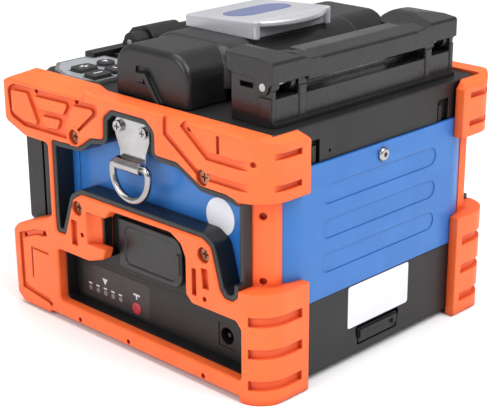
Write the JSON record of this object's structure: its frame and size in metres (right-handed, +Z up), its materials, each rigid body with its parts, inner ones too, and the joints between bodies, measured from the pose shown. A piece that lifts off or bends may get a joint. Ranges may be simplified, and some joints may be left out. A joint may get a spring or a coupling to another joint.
{
  "type": "fibre fusion splicer",
  "caption": "Portable optical fibre fusion splicer: cube case with soft bumpers, hinged wind cover over the splicing chamber, sleeve heater, tilting screen and slide-out battery.",
  "frame": {"origin": "on the resting plane, under the middle of the case", "axes": "+Z up, +X to the operator's right (battery and socket side), +Y to the rear (heater side)"},
  "size_m": [0.1536, 0.158, 0.1373],
  "materials": {
    "aluminium": "machined",
    "badge_blue": "glossy blue enamel",
    "board_green": "solder mask",
    "brass": "plain",
    "button_red": "dark red",
    "cap_silver": "silver metallic lacquer",
    "case_black": "fine textured black",
    "cell_wrap": "shrink wrap",
    "cover_black": "satin black",
    "key_rubber": "matte dark rubber",
    "keypad_grey": "dark grey",
    "keypad_pale": "pale grey film",
    "label_white": "white label film",
    "led_clear": "milky clear",
    "liner_black": "satin black soft moulding",
    "orange_rubber": "matte moulded soft orange",
    "panel_blue": "satin blue paint",
    "screen_glass": "dark display glass",
    "screw_steel": "plated steel",
    "steel_frame": "zinc plated sheet",
    "zinc": "bright plated"
  },
  "bodies": {
    "case": {"base_feet": "liner_black", "base_tray": "case_black", "bumper_left": "orange_rubber", "bumper_right": "orange_rubber", "bumper_screws": "screw_steel", "chamber_base": "aluminium", "chassis_frame": "steel_frame", "electrodes": "screw_steel", "front_housing": "case_black", "heater_base": "cover_black", "heater_plate": "aluminium", "hinge_pins": "screw_steel", "hinge_rod": "screw_steel", "hinge_saddle": "case_black", "keypad_plates": "keypad_pale", "keypad_tiles": "keypad_grey", "liner_left": "liner_black", "liner_right": "liner_black", "main_board": "board_green", "port_sockets": "steel_frame", "rating_label": "label_white", "rear_panel": "panel_blue", "rear_screw": "screw_steel", "ring_plates": "zinc", "ring_screws": "zinc", "seal_sticker": "label_white", "side_panel_left": "panel_blue", "side_panel_right": "panel_blue", "top_deck": "case_black", "tripod_bush": "brass", "v_groove_block": "aluminium"},
    "monitor": {"monitor_housing": "case_black", "monitor_glass": "screen_glass"},
    "cover": {"wind_cover": "cover_black", "cover_cap": "cap_silver", "cap_badge": "badge_blue"},
    "heater_cover": {"heater_lid": "cover_black", "heater_lid_plate": "keypad_pale"},
    "right_ring": {"carry_ring_right": "zinc"},
    "left_ring": {"carry_ring_left": "zinc"},
    "flap": {"port_flap": "liner_black"},
    "battery": {"battery_case": "case_black", "battery_cells": "cell_wrap", "battery_membrane": "case_black", "charge_leds": "led_clear", "dc_jack": "case_black"},
    "charge_key": {"charge_button": "button_red"},
    "latch": {"battery_latch": "case_black"},
    "right_stage": {"fibre_stage_right": "aluminium"},
    "left_stage": {"fibre_stage_left": "aluminium"},
    "right_clamp": {"fibre_clamp_right": "aluminium"},
    "left_clamp": {"fibre_clamp_left": "aluminium"},
    "key_front_left_body": {"key_front_left": "key_rubber"},
    "key_front_right_body": {"key_front_right": "key_rubber"},
    "key_inner_left_body": {"key_inner_left": "key_rubber"},
    "key_inner_right_body": {"key_inner_right": "key_rubber"},
    "key_outer_left_body": {"key_outer_left": "key_rubber"},
    "key_outer_right_body": {"key_outer_right": "key_rubber"},
    "key_round_left_body": {"key_round_left": "key_rubber"},
    "key_round_right_body": {"key_round_right": "key_rubber"}
  },
  "joints": [
    {"name": "monitor_tilt", "type": "hinge", "parent": "case", "child": "monitor", "pos_m": [0, -0.058, 0.115], "axis": [-1, 0, 0], "range_deg": [0, 100]},
    {"name": "wind_cover_hinge", "type": "hinge", "parent": "case", "child": "cover", "pos_m": [0, -0.025, 0.1125], "axis": [1, 0, 0], "range_deg": [0, 85]},
    {"name": "heater_lid_hinge", "type": "hinge", "parent": "case", "child": "heater_cover", "pos_m": [0, 0.0618, 0.1232], "axis": [-1, 0, 0], "range_deg": [0, 45]},
    {"name": "right_ring_swing", "type": "hinge", "parent": "case", "child": "right_ring", "pos_m": [0.074, 0.0045, 0.0837], "axis": [0, -1, 0], "range_deg": [0, 120]},
    {"name": "left_ring_swing", "type": "hinge", "parent": "case", "child": "left_ring", "pos_m": [-0.074, 0.0045, 0.0837], "axis": [0, 1, 0], "range_deg": [0, 120]},
    {"name": "port_flap_hinge", "type": "hinge", "parent": "case", "child": "flap", "pos_m": [0.06605, -0.0123, 0.044], "axis": [0, 0, -1], "range_deg": [0, 75]},
    {"name": "battery_slide", "type": "slide", "parent": "case", "child": "battery", "axis": [1, 0, 0], "range_m": [0, 0.112]},
    {"name": "charge_button_press", "type": "slide", "parent": "battery", "child": "charge_key", "axis": [-1, 0, 0], "range_m": [0, 0.0005]},
    {"name": "battery_latch_hinge", "type": "hinge", "parent": "case", "child": "latch", "pos_m": [0, 0.073, 0.008], "axis": [-1, 0, 0], "range_deg": [0, 40]},
    {"name": "right_stage_slide", "type": "slide", "parent": "case", "child": "right_stage", "axis": [-1, 0, 0], "range_m": [-0.0015, 0.0015]},
    {"name": "left_stage_slide", "type": "slide", "parent": "case", "child": "left_stage", "axis": [1, 0, 0], "range_m": [-0.0015, 0.0015]},
    {"name": "right_clamp_hinge", "type": "hinge", "parent": "right_stage", "child": "right_clamp", "pos_m": [0.026, 0.0063, 0.1165], "axis": [-1, 0, 0], "range_deg": [0, 100]},
    {"name": "left_clamp_hinge", "type": "hinge", "parent": "left_stage", "child": "left_clamp", "pos_m": [-0.026, 0.0063, 0.1165], "axis": [-1, 0, 0], "range_deg": [0, 100]},
    {"name": "key_front_left_press", "type": "slide", "parent": "case", "child": "key_front_left_body", "axis": [0, 0, -1], "range_m": [0, 0.0005]},
    {"name": "key_front_right_press", "type": "slide", "parent": "case", "child": "key_front_right_body", "axis": [0, 0, -1], "range_m": [0, 0.0005]},
    {"name": "key_inner_left_press", "type": "slide", "parent": "case", "child": "key_inner_left_body", "axis": [0, 0, -1], "range_m": [0, 0.0005]},
    {"name": "key_inner_right_press", "type": "slide", "parent": "case", "child": "key_inner_right_body", "axis": [0, 0, -1], "range_m": [0, 0.0005]},
    {"name": "key_outer_left_press", "type": "slide", "parent": "case", "child": "key_outer_left_body", "axis": [0, 0, -1], "range_m": [0, 0.0005]},
    {"name": "key_outer_right_press", "type": "slide", "parent": "case", "child": "key_outer_right_body", "axis": [0, 0, -1], "range_m": [0, 0.0005]},
    {"name": "key_round_left_press", "type": "slide", "parent": "case", "child": "key_round_left_body", "axis": [0, 0, -1], "range_m": [0, 0.0005]},
    {"name": "key_round_right_press", "type": "slide", "parent": "case", "child": "key_round_right_body", "axis": [0, 0, -1], "range_m": [0, 0.0005]}
  ]
}
